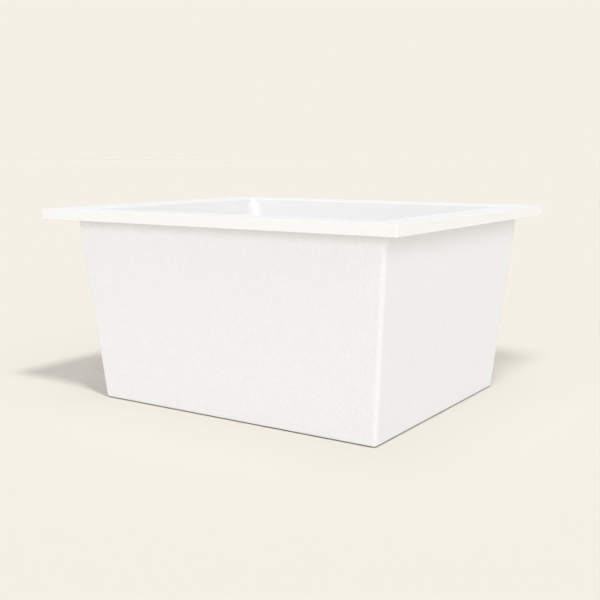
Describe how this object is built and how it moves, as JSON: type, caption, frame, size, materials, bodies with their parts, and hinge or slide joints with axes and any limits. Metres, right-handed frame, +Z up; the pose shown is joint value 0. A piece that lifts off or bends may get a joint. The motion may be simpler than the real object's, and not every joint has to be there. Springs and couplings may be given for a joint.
{
  "type": "wash tub",
  "caption": "Open rectangular white wash tub with leaning grained walls, a flat drop-in flange, a smooth inner basin and a waste with a lift-out strainer.",
  "frame": {"origin": "on the ground, under the middle of the flange", "axes": "+X along the long side, with the wide ledge of the flange at -X; +Y across, away from the front; +Z up"},
  "size_m": [0.614, 0.516, 0.301],
  "materials": {
    "basin_gloss": "smooth satin gloss white",
    "body_grain": "white with a fine pebble grain",
    "bearer_foam": "pale rigid board, matt",
    "pad_rubber": "matt",
    "seal_rubber": "matt",
    "nut_nylon": "natural white, moulded",
    "waste_steel": "turned and brushed",
    "strainer_steel": "pressed and polished"
  },
  "bodies": {
    "tub": {"basin": "basin_gloss", "outer_body": "body_grain", "front_bearer": "bearer_foam", "back_bearer": "bearer_foam", "left_bearer": "bearer_foam", "right_bearer": "bearer_foam", "front_left_pad": "pad_rubber", "front_right_pad": "pad_rubber", "back_left_pad": "pad_rubber", "back_right_pad": "pad_rubber", "waste_body": "waste_steel", "waste_seal": "seal_rubber", "floor_washer": "seal_rubber", "slip_ring": "nut_nylon", "lock_nut": "nut_nylon", "tail_washer": "seal_rubber", "tail_nut": "nut_nylon"},
    "strainer": {"strainer_basket": "strainer_steel", "hub_ring": "seal_rubber"},
    "plunger": {"strainer_post": "strainer_steel", "strainer_knob": "strainer_steel", "stopper": "seal_rubber", "post_nut": "strainer_steel"}
  },
  "joints": [
    {"name": "basket_lift", "type": "slide", "parent": "tub", "child": "strainer", "axis": [0, 0, 1], "range_m": [0, 0.3]},
    {"name": "plunger_pull", "type": "slide", "parent": "strainer", "child": "plunger", "axis": [0, 0, 1], "range_m": [0, 0.008]}
  ]
}
